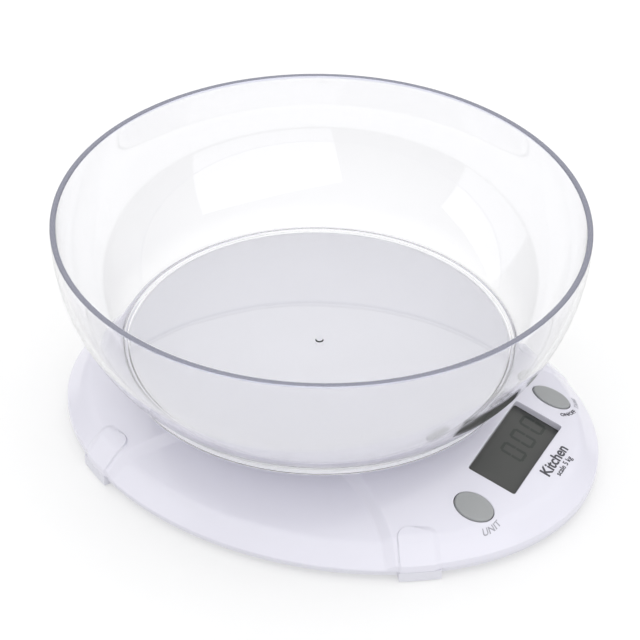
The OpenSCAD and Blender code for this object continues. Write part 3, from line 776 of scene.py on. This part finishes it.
# %% Screw posts under the shell
def post(skin, centre_of, outer_r, hole_r, length):
    """Hollow post with a blind hole; centre_of(x, y, z) places a local point, z up into the shell"""
    def ring(radius, z):
        return [centre_of(px, py, z) for px, py, _ in circle(radius, 32)]
    rows = skin.rows([ring(outer_r, length), ring(outer_r, 0.3), ring(outer_r - 0.3, 0), ring(hole_r, 0),
                      ring(hole_r, 6.0)])
    skin.cap(rows[-1], centre_of(0, 0, 6.0), facing_in=True)
    skin.cap(rows[0], centre_of(0, 0, length))


PCB_DROP = FLANGE_DROP + 1 + 1.9
HOUSING_POST = 54.0
HOUSING_POST_FOOT = 9.0
HOLDER_U = WINDOW_U + 2.8 + 0.1 + 1.0      # the window, then the glass's lap, its play and the holder's wall
HOLDER_V = WINDOW_V + 1.8 + 0.1 + 1.0
BOARD_POST_R = 1.9
under = float(top_height(np.array(HOUSING_POST), np.array(HOUSING_POST))) - SHELL_WALL * 0.7
for sx in (-1, 1):
    for sy in (-1, 1):
        def in_housing(x, y, z, sx=sx, sy=sy):
            return sx * HOUSING_POST + x, sy * HOUSING_POST + y, HOUSING_POST_FOOT + z
        post(shell, in_housing, 3.4, 1.56, under - HOUSING_POST_FOOT)
for s in (-1, 1):
    for v in (2.0 - HOLDER_V, HOLDER_V + 0.5):
        u = s * (HOLDER_U + BOARD_POST_R + 0.5)

        def on_board(x, y, z, u=u, v=v):
            return slope_point(u + x, v + y, z - PCB_DROP)
        length = float(top_level(np.array(u), np.array(v))) - SHELL_WALL * 0.7 + PCB_DROP
        post(shell, on_board, BOARD_POST_R, 1.06, length)

top_shell = finish_piece("top_shell", shell.points, shell.faces, gloss_abs, "base", "white_plastic",
                         "top_housing")

# %% True normals for the top
mesh = top_shell.data
count = len(flat)
hub_wall = set(loop_ids[1]) | {i + count for i in loop_ids[1]}


def true_normal(i, face):
    """Normal of the top or its underside at a face's corner; zero leaves the mesh's own"""
    if all(k in hub_wall for k in face):
        return 0.0, 0.0, 0.0
    if i < count:
        return normal[i]
    if all(count <= k < 2 * count for k in face):
        return -normal[i - count]
    return 0.0, 0.0, 0.0


corner_normals = [true_normal(i, face.vertices) for face in mesh.polygons for i in face.vertices]
mesh.normals_split_custom_set(corner_normals)
print("corners with true normals:", len(corner_normals))

# %% [markdown]
# ## Bowl
#
# The bowl follows a rule: its wall is an arc that stands upright at the rim and meets the floor at 45
# degrees. So its section is a list of arcs, and a Geometry Nodes tree sweeps that section round a circle.
# The sweep puts many points on the axis, which Merge by Distance closes into a clean pole.

# %% Section of the bowl
PLATFORM_TOP = 43.0
FOOT_RING_R = 81.0
FOOT_RING_WALL = 2.6
BOWL_WALL = 2.4
BOWL_FLOOR = 2.0
RIM_R = 215 / 2
wall_drop = RIM_Z - PLATFORM_TOP
wall_run = RIM_R - FOOT_RING_R
WALL_ARC_R = (wall_drop ** 2 + wall_run ** 2) / (2 * wall_run)
ARC_CENTRE_R = RIM_R - WALL_ARC_R


def arc_points(centre, radius, start, end, steps):
    """Points on an arc in the section, angles in degrees from the outward direction"""
    turns = np.radians(np.linspace(start, end, steps))
    return [(centre[0] + radius * math.cos(t), centre[1] + radius * math.sin(t)) for t in turns]


inner_r = WALL_ARC_R - BOWL_WALL
floor_top = PLATFORM_TOP + BOWL_FLOOR
bend = 3.0                      # inside fillet between the wall and the floor
bend_turn = math.degrees(math.asin((RIM_Z - floor_top - bend) / (inner_r - bend)))
bend_centre = (ARC_CENTRE_R + (inner_r - bend) * math.cos(math.radians(bend_turn)), floor_top + bend)
rim_round = 0.7
section = [(0.0, floor_top + 0.45), (1.3, floor_top + 0.45), (1.6, floor_top + 0.2), (1.7, floor_top)]
section += [(r, floor_top) for r in np.linspace(8, bend_centre[0] - 1, 10)]
section += arc_points(bend_centre, bend, -90, -bend_turn, 8)
section += arc_points((ARC_CENTRE_R, RIM_Z), inner_r, -bend_turn + 1.5, -0.6, 44)
section += arc_points((RIM_R - BOWL_WALL + rim_round, RIM_Z - rim_round), rim_round, 180, 90, 5)
section += arc_points((RIM_R - rim_round, RIM_Z - rim_round), rim_round, 90, 0, 5)
lean = math.degrees(math.asin(wall_drop / WALL_ARC_R))
section += arc_points((ARC_CENTRE_R, RIM_Z), WALL_ARC_R, -0.6, -lean + 0.6, 44)
section += [(FOOT_RING_R, PLATFORM_TOP - 0.2), (FOOT_RING_R, PLATFORM_TOP - 2.6)]
section += [(FOOT_RING_R - 0.4, PLATFORM_TOP - 3), (FOOT_RING_R - FOOT_RING_WALL + 0.4, PLATFORM_TOP - 3)]
ring_inside = FOOT_RING_R - FOOT_RING_WALL
section += [(ring_inside, PLATFORM_TOP - 2.6), (ring_inside, PLATFORM_TOP - 0.4)]
section += [(ring_inside - 0.4, PLATFORM_TOP)]
section += [(r, PLATFORM_TOP) for r in np.linspace(70, 0, 9)]
print("bowl section points:", len(section))


# %% Sweep tree
def new_tree(name, **inputs):
    """Geometry Nodes tree with a Geometry in and out and the named inputs; returns the tree and its ends"""
    tree = bpy.data.node_groups.new(name, "GeometryNodeTree")
    tree.interface.new_socket("Geometry", in_out="INPUT", socket_type="NodeSocketGeometry")
    for label, kind in inputs.items():
        tree.interface.new_socket(label.replace("_", " "), in_out="INPUT", socket_type="NodeSocket" + kind)
    tree.interface.new_socket("Geometry", in_out="OUTPUT", socket_type="NodeSocketGeometry")
    return tree, add(tree, "NodeGroupInput").outputs, add(tree, "NodeGroupOutput").inputs


def end_tree(tree, geometry, given, result):
    """Ends a tree with its copies made real and its material set"""
    real = add(tree, "GeometryNodeRealizeInstances", links={"Geometry": geometry})
    painted = add(tree, "GeometryNodeSetMaterial",
                  links={"Geometry": real.outputs["Geometry"], "Material": given["Material"]})
    tree.links.new(painted.outputs["Geometry"], result["Geometry"])
    print(tree.name, "nodes:", len(tree.nodes))


def grow(name, tree, base_mesh, **values):
    """Runs a tree on a mesh and returns the result as a plain mesh"""
    carrier = bpy.data.objects.new(name + "_carrier", base_mesh)
    scene.collection.objects.link(carrier)
    modifier = carrier.modifiers.new("grow", "NODES")
    modifier.node_group = tree
    for item in tree.interface.items_tree:
        key = item.name.replace(" ", "_")
        if item.in_out == "INPUT" and key in values:
            modifier[item.identifier] = values[key]
    bpy.context.view_layer.update()
    evaluated = carrier.evaluated_get(bpy.context.evaluated_depsgraph_get())
    mesh = bpy.data.meshes.new_from_object(evaluated)
    mesh.name = name
    # A mesh primitive in the tree leaves an empty slot in front of the one that Set Material adds
    if mesh.materials[0] is None:
        mesh.materials.pop(index=0)
        mesh.polygons.foreach_set("material_index", [0] * len(mesh.polygons))
    carrier.modifiers.clear()
    bpy.data.objects.remove(carrier)
    return mesh


sweep, given, result = new_tree("sweep_round_axis", Steps="Int", Material="Material")
path = add(sweep, "GeometryNodeCurvePrimitiveCircle", {"Radius": 1.0}, {"Resolution": given["Steps"]})
outline_curve = add(sweep, "GeometryNodeMeshToCurve", links={"Mesh": given["Geometry"]})
skin = add(sweep, "GeometryNodeCurveToMesh", {"Fill Caps": False},
           {"Curve": path.outputs["Curve"], "Profile Curve": outline_curve.outputs["Curve"]})
closed = add(sweep, "GeometryNodeMergeByDistance", {"Distance": 0.000005}, {"Geometry": skin.outputs["Mesh"]})
end_tree(sweep, closed.outputs["Geometry"], given, result)


# %% Turned pieces
def turned_mesh(name, section, steps, material):
    """Mesh of a section of (radius, height) in mm turned round the bowl's axis"""
    # The path is a circle of 1 m radius and its sections stand upside down, so this one is drawn to match
    line = bpy.data.meshes.new(name + "_section")
    line.from_pydata([(r * MM - 1.0, -z * MM, 0.0) for r, z in section],
                     [(i, i + 1) for i in range(len(section) - 1)], [])
    mesh = grow(name, sweep, line, Steps=steps, Material=material)
    mesh.transform(Matrix.Translation((0, BOWL_Y * MM, 0)))
    return mesh


bowl_mesh = turned_mesh("clear_bowl", section, 288, clear_san)
place_mesh("clear_bowl", bowl_mesh, "bowl", "clear_plastic", "bowl")

# %% [markdown]
# ## Display segments
#
# Each lit digit is a zero: six hexagonal bars printed as clear electrodes on the glass. One bar is a prism
# with six sides, pulled apart in the middle until it has the right length, and Geometry Nodes stand a copy
# on each segment's place. Upright and lying bars differ only in their length and their turn.

# %% Segment tree
def pulled_prism(tree, given, length):
    """Hexagonal prism with pointed ends, as long as the length socket says"""
    radius = add(tree, "ShaderNodeMath", {1: 0.577}, {0: given["Stroke"]}, operation="MULTIPLY")
    prism = add(tree, "GeometryNodeMeshCylinder", {"Vertices": 6},
                {"Radius": radius.outputs[0], "Depth": given["Thickness"]})
    slack = add(tree, "ShaderNodeMath", links={0: length, 1: given["Stroke"]}, operation="SUBTRACT")
    pull = add(tree, "ShaderNodeMath", {1: 0.5}, {0: slack.outputs[0]}, operation="MULTIPLY")
    here = add(tree, "GeometryNodeInputPosition")
    axes = add(tree, "ShaderNodeSeparateXYZ", links={"Vector": here.outputs["Position"]})
    side = add(tree, "ShaderNodeMath", links={0: axes.outputs["X"]}, operation="SIGN")
    shift = add(tree, "ShaderNodeMath", links={0: side.outputs[0], 1: pull.outputs[0]}, operation="MULTIPLY")
    offset = add(tree, "ShaderNodeCombineXYZ", links={"X": shift.outputs[0]})
    moved = add(tree, "GeometryNodeSetPosition",
                links={"Geometry": prism.outputs["Mesh"], "Offset": offset.outputs["Vector"]})
    return moved.outputs["Geometry"]


digits_tree, given, result = new_tree("display_segments", Stroke="Float", Lying_Length="Float",
                                      Upright_Length="Float", Thickness="Float", Material="Material")
upright = add(digits_tree, "GeometryNodeInputNamedAttribute", {"Name": "upright"}, data_type="BOOLEAN")
lying = add(digits_tree, "FunctionNodeBooleanMath", links={0: upright.outputs["Attribute"]}, operation="NOT")
lying_bars = add(digits_tree, "GeometryNodeInstanceOnPoints",
                 links={"Points": given["Geometry"], "Selection": lying.outputs[0],
                        "Instance": pulled_prism(digits_tree, given, given["Lying Length"])})
upright_bars = add(digits_tree, "GeometryNodeInstanceOnPoints", {"Rotation": (0, 0, math.pi / 2)},
                   {"Points": given["Geometry"], "Selection": upright.outputs["Attribute"],
                    "Instance": pulled_prism(digits_tree, given, given["Upright Length"])})
both = add(digits_tree, "GeometryNodeJoinGeometry")
digits_tree.links.new(lying_bars.outputs["Instances"], both.inputs["Geometry"])
digits_tree.links.new(upright_bars.outputs["Instances"], both.inputs["Geometry"])
end_tree(digits_tree, both.outputs["Geometry"], given, result)

# %% Three zeros on the glass
DIGIT_HEIGHT = 10.8
DIGIT_WIDTH = 6.2
DIGIT_PITCH = 9.6
STROKE = 1.25
INK_THICKNESS = 0.04
places, upright_flags = [], []
for digit in range(3):
    middle = digit * DIGIT_PITCH
    for lying_side in (-1, 1):
        places.append((middle, lying_side * (DIGIT_HEIGHT - STROKE) / 2))
        upright_flags.append(False)
    for across in (-1, 1):
        for half in (-1, 1):
            places.append((middle + across * (DIGIT_WIDTH - STROKE) / 2, half * (DIGIT_HEIGHT - STROKE) / 4))
            upright_flags.append(True)
points_mesh = bpy.data.meshes.new("segment_places")
points_mesh.from_pydata([(u * MM, v * MM, 0) for u, v in places], [], [])
points_mesh.attributes.new("upright", "BOOLEAN", "POINT").data.foreach_set("value", upright_flags)
digits = grow("display_digits", digits_tree, points_mesh, Stroke=STROKE * MM,
              Lying_Length=(DIGIT_WIDTH - STROKE - 0.25) * MM,
              Upright_Length=((DIGIT_HEIGHT - STROKE) / 2 - 0.25) * MM,
              Thickness=INK_THICKNESS * MM, Material=display_ink)


def slope_matrix(u, v, w):
    """Matrix that takes a piece drawn flat in metres to a place in the slope frame"""
    spot = Vector(slope_point(u, v, w)) * MM
    return Matrix.Translation(spot) @ Matrix.Rotation(SLOPE, 4, "X")


digits.transform(slope_matrix(0, -0.2, -LCD_DROP - 0.05 + INK_THICKNESS / 2))
place_mesh("display_digits", digits, "base", "lcd")

# %% [markdown]
# ## Buttons
#
# Each button is a satin grey oval cap that slides in its sleeve. Its face follows the domed shell and
# stands only 0.4 mm proud, and a flange at its foot stops it from coming out. Rows of points on ovals make
# it: across the face, over the rounded edge, down the wall, round the flange and up inside the hollow.

# %% Button caps
BUTTON_STAND = 0.4
BUTTON_EDGE = 0.7
FLANGE_WIDTH = 1.0
FLANGE_THICK = 1.0
CAP_WALL = 1.2
CAP_FLOOR = PCB_DROP - 3.4 - 0.9


def button_cap(name, side, body, node):
    """Oval cap on one side of the display: -1 left, 1 right"""
    turns = np.linspace(0, 2 * math.pi, 96, endpoint=False)
    middle = side * BUTTON_OFFSET

    def oval(inset, w=None):
        u = middle + (BUTTON_U - inset) * np.cos(turns)
        v = (BUTTON_V - inset) * np.sin(turns)
        if w is not None:
            return slope_point(u, v, w)
        edge = max(BUTTON_EDGE - inset, 0)
        drop = BUTTON_EDGE - math.sqrt(BUTTON_EDGE ** 2 - edge ** 2)
        return on_top(u, v, BUTTON_STAND + 0.25 - drop)

    cap = Skin()
    rows = [oval(i) for i in (5.2, 4.2, 3.2, 2.4, 1.7, 1.2, 0.7, 0.5, 0.33, 0.19, 0.08, 0.0)]
    rows += [oval(0, -FLANGE_DROP), oval(-FLANGE_WIDTH, -FLANGE_DROP),
             oval(-FLANGE_WIDTH, -FLANGE_DROP - FLANGE_THICK), oval(CAP_WALL, -FLANGE_DROP - FLANGE_THICK),
             oval(CAP_WALL, -CAP_FLOOR)]
    loops = cap.rows(rows)
    cap.cap(loops[0], on_top(middle, 0.0, BUTTON_STAND + 0.25))
    cap.cap(loops[-1], slope_point(middle, 0.0, -CAP_FLOOR), facing_in=True)
    return finish_piece(name, cap.points, cap.faces, button_abs, body, "button_grey", node, sharp=40)


button_cap("left_button_cap", -1, "unit_button", "unit_button")
button_cap("right_button_cap", 1, "power_button", "power_button")

# %% [markdown]
# ## Pad-printed lettering
#
# The lettering is a thin film of ink, printed on the finished shell with a soft silicone pad, so it
# lies on the curve without a seam. Text objects are made a mesh first. Then each of their points is laid on
# the height function, straight or along an arc round a button.

# %% Lettering
INK_RAISE = 0.12


def text_mesh(name, words, width, weight):
    """Flat text as a thin solid mesh, centred, with its width in mm"""
    curve = bpy.data.curves.new(name, "FONT")
    curve.body = words
    curve.align_x = "CENTER"
    curve.align_y = "CENTER"
    curve.offset = weight
    curve.resolution_u = 6
    curve.extrude = 0.01
    carrier = bpy.data.objects.new(name + "_carrier", curve)
    scene.collection.objects.link(carrier)
    bpy.context.view_layer.update()
    mesh = bpy.data.meshes.new_from_object(carrier.evaluated_get(bpy.context.evaluated_depsgraph_get()))
    bpy.data.objects.remove(carrier)
    merged = bmesh.new()
    merged.from_mesh(mesh)
    bmesh.ops.remove_doubles(merged, verts=merged.verts, dist=1e-6)
    bmesh.ops.recalc_face_normals(merged, faces=merged.faces)
    merged.to_mesh(mesh)
    merged.free()
    flat_points = np.array([v.co[:] for v in mesh.vertices])
    scale = width / np.ptp(flat_points[:, 0])
    flat_points[:, :2] *= scale
    flat_points[:, 2] = np.sign(flat_points[:, 2]) * INK_RAISE
    return mesh, flat_points


def lettering(name, words, width, material, lay, weight=0.0):
    """Text printed on the top; lay(x, y) gives u and v of a flat point"""
    mesh, flat_points = text_mesh(name, words, width, weight)
    u, v = lay(flat_points[:, 0], flat_points[:, 1])
    placed = on_top(u, v, flat_points[:, 2])
    mesh.vertices.foreach_set("co", (placed * MM).astype(np.float32).ravel())
    mesh.materials.clear()
    mesh.materials.append(material)
    mesh.name = name
    return place_mesh(name, mesh, "base", "button_grey", sharp=20)


def straight(u0, v0):
    """Lays text level, centred on (u0, v0)"""
    return lambda x, y: (u0 + x, v0 + y)


def round_button(side, radius, degrees):
    """Lays text along an arc below a button; degrees is the direction of its middle"""
    def lay(x, y):
        turn = math.radians(degrees) + x / radius
        return side * BUTTON_OFFSET + (radius - y) * np.cos(turn), (radius - y) * np.sin(turn)
    return lay


lettering("label_unit", "UNIT", 8.4, label_grey, round_button(-1, 11.6, -112), 0.01)
lettering("label_on_off", "ON/OFF", 9.0, label_dark, round_button(1, 11.2, -116), 0.02)
lettering("label_tare", "TARE", 7.0, label_grey, round_button(1, 11.2, -60), 0.01)
lettering("label_kitchen", "Kitchen", 20.0, label_dark, straight(3, -16.2), 0.02)
lettering("label_scale", "scale 5 kg", 13.0, label_dark, straight(3, -20.6), 0.01)

# %% [markdown]
# ## Battery springs
#
# A spring contact is one nickel-plated wire wound to a cone. Geometry Nodes wind a spiral, give it a round
# section and stand a copy at each battery's minus end. The two cells lie head to tail, so the second spring
# is turned round by the sign stored on its point.

# %% Spring tree
spring_tree, given, result = new_tree("cone_springs", Coils="Float", Wide_Radius="Float",
                                      Narrow_Radius="Float", Length="Float", Wire_Radius="Float",
                                      Material="Material")
wound = add(spring_tree, "GeometryNodeCurveSpiral", {"Resolution": 24},
            {"Rotations": given["Coils"], "Start Radius": given["Narrow Radius"],
             "End Radius": given["Wide Radius"], "Height": given["Length"]})
section_circle = add(spring_tree, "GeometryNodeCurvePrimitiveCircle", {"Resolution": 10},
                     {"Radius": given["Wire Radius"]})
wire = add(spring_tree, "GeometryNodeCurveToMesh", {"Fill Caps": True},
           {"Curve": wound.outputs["Curve"], "Profile Curve": section_circle.outputs["Curve"]})
facing = add(spring_tree, "GeometryNodeInputNamedAttribute", {"Name": "facing"}, data_type="FLOAT")
quarter = add(spring_tree, "ShaderNodeMath", {1: -math.pi / 2}, {0: facing.outputs["Attribute"]},
              operation="MULTIPLY")
turned = add(spring_tree, "ShaderNodeCombineXYZ", links={"Y": quarter.outputs[0]})
stood = add(spring_tree, "GeometryNodeInstanceOnPoints",
            links={"Points": given["Geometry"], "Instance": wire.outputs["Mesh"],
                   "Rotation": turned.outputs["Vector"]})
end_tree(spring_tree, stood.outputs["Instances"], given, result)

# %% Springs in the battery bay
WIRE_RADIUS = 0.175
WIDE_RADIUS = 2.6
NARROW_RADIUS = 2.1
COILS = 4.5
spring_low, spring_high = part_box("battery_springs")
low_1, high_1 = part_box("battery_1")
low_2, high_2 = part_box("battery_2")
middle_z = (spring_low.z + spring_high.z) / 2
stand_off = (WIRE_RADIUS + 0.03) * MM
room = low_1.x - spring_low.x - 0.1 * MM
seats = [(low_1.x - stand_off, (low_1.y + high_1.y) / 2, middle_z),
         (high_2.x + stand_off, (low_2.y + high_2.y) / 2, middle_z)]
spring_mesh = bpy.data.meshes.new("spring_places")
spring_mesh.from_pydata(seats, [], [])
spring_mesh.attributes.new("facing", "FLOAT", "POINT").data.foreach_set("value", [1.0, -1.0])
coils = grow("battery_coils", spring_tree, spring_mesh, Coils=COILS, Wide_Radius=WIDE_RADIUS * MM,
             Narrow_Radius=NARROW_RADIUS * MM, Length=room - 2 * WIRE_RADIUS * MM,
             Wire_Radius=WIRE_RADIUS * MM, Material=spring_nickel)
place_mesh("battery_coils", coils, "base", "spring_steel", "battery_springs", sharp=60)

# %% [markdown]
# ## Studio
#
# A pale paper floor and a softly glowing room give the even light that glossy white plastic needs. The glow
# grows from the horizon to the zenith, as under a large overhead light tent, so faces that look up are
# lighter than walls and steps. Two window-shaped softboxes show as pale patches on the far inside wall of
# the bowl, which is what tells the eye that the wall is there.

# %% Floor
floor_mesh = bpy.data.meshes.new("floor")
floor_mesh.from_pydata([(-6, -6, 0), (6, -6, 0), (6, 6, 0), (-6, 6, 0)], [], [(0, 1, 2, 3)])
floor = bpy.data.objects.new("floor", floor_mesh)
scene.collection.objects.link(floor)
floor_finish, tree, shader, in_mm = start_material("white_paper_floor", Roughness=0.9)
shader.inputs["Base Color"].default_value = srgb("#B4B4B4")
shader.inputs["Emission Color"].default_value = (1.0, 1.0, 1.0, 1.0)
shader.inputs["Emission Strength"].default_value = 0.42
floor_mesh.materials.append(floor_finish)
print("floor is", round(floor.dimensions.x, 1), "m wide")

# %% World
HORIZON_GLOW = 0.25
ZENITH_GLOW = 1.90
world = bpy.data.worlds.new("studio")
world.use_nodes = True
world_tree = world.node_tree
direction = add(world_tree, "ShaderNodeTexCoord")
upwards = add(world_tree, "ShaderNodeSeparateXYZ", links={"Vector": direction.outputs["Generated"]})
glow = add(world_tree, "ShaderNodeMapRange", {"To Min": HORIZON_GLOW, "To Max": ZENITH_GLOW},
           {"Value": upwards.outputs["Z"]})
backdrop = world_tree.nodes["Background"]
backdrop.inputs["Color"].default_value = (1.0, 1.0, 1.0, 1.0)
world_tree.links.new(glow.outputs["Result"], backdrop.inputs["Strength"])
scene.world = world
print("world glow from", HORIZON_GLOW, "to", ZENITH_GLOW)

# %% Softboxes
def softbox(name, azimuth, elevation, distance, width, height, radiance):
    """Rectangular light that faces the object, placed by angles in degrees and sizes in metres"""
    a, e = math.radians(azimuth), math.radians(elevation)
    away = Vector((math.cos(a) * math.cos(e), math.sin(a) * math.cos(e), math.sin(e)))
    light = bpy.data.lights.new(name, "AREA")
    light.shape = "RECTANGLE"
    light.size = width
    light.size_y = height
    light.energy = radiance * math.pi * width * height
    obj = bpy.data.objects.new(name, light)
    scene.collection.objects.link(obj)
    obj.location = away * distance
    obj.rotation_euler = away.to_track_quat("Z", "Y").to_euler()


softbox("left_window", -127, 22, 1.5, 1.9, 1.0, 0.7)
softbox("right_window", 118, 17, 1.5, 1.2, 0.75, 0.7)
scene.view_settings.view_transform = "Standard"
print("lights:", len(bpy.data.lights))
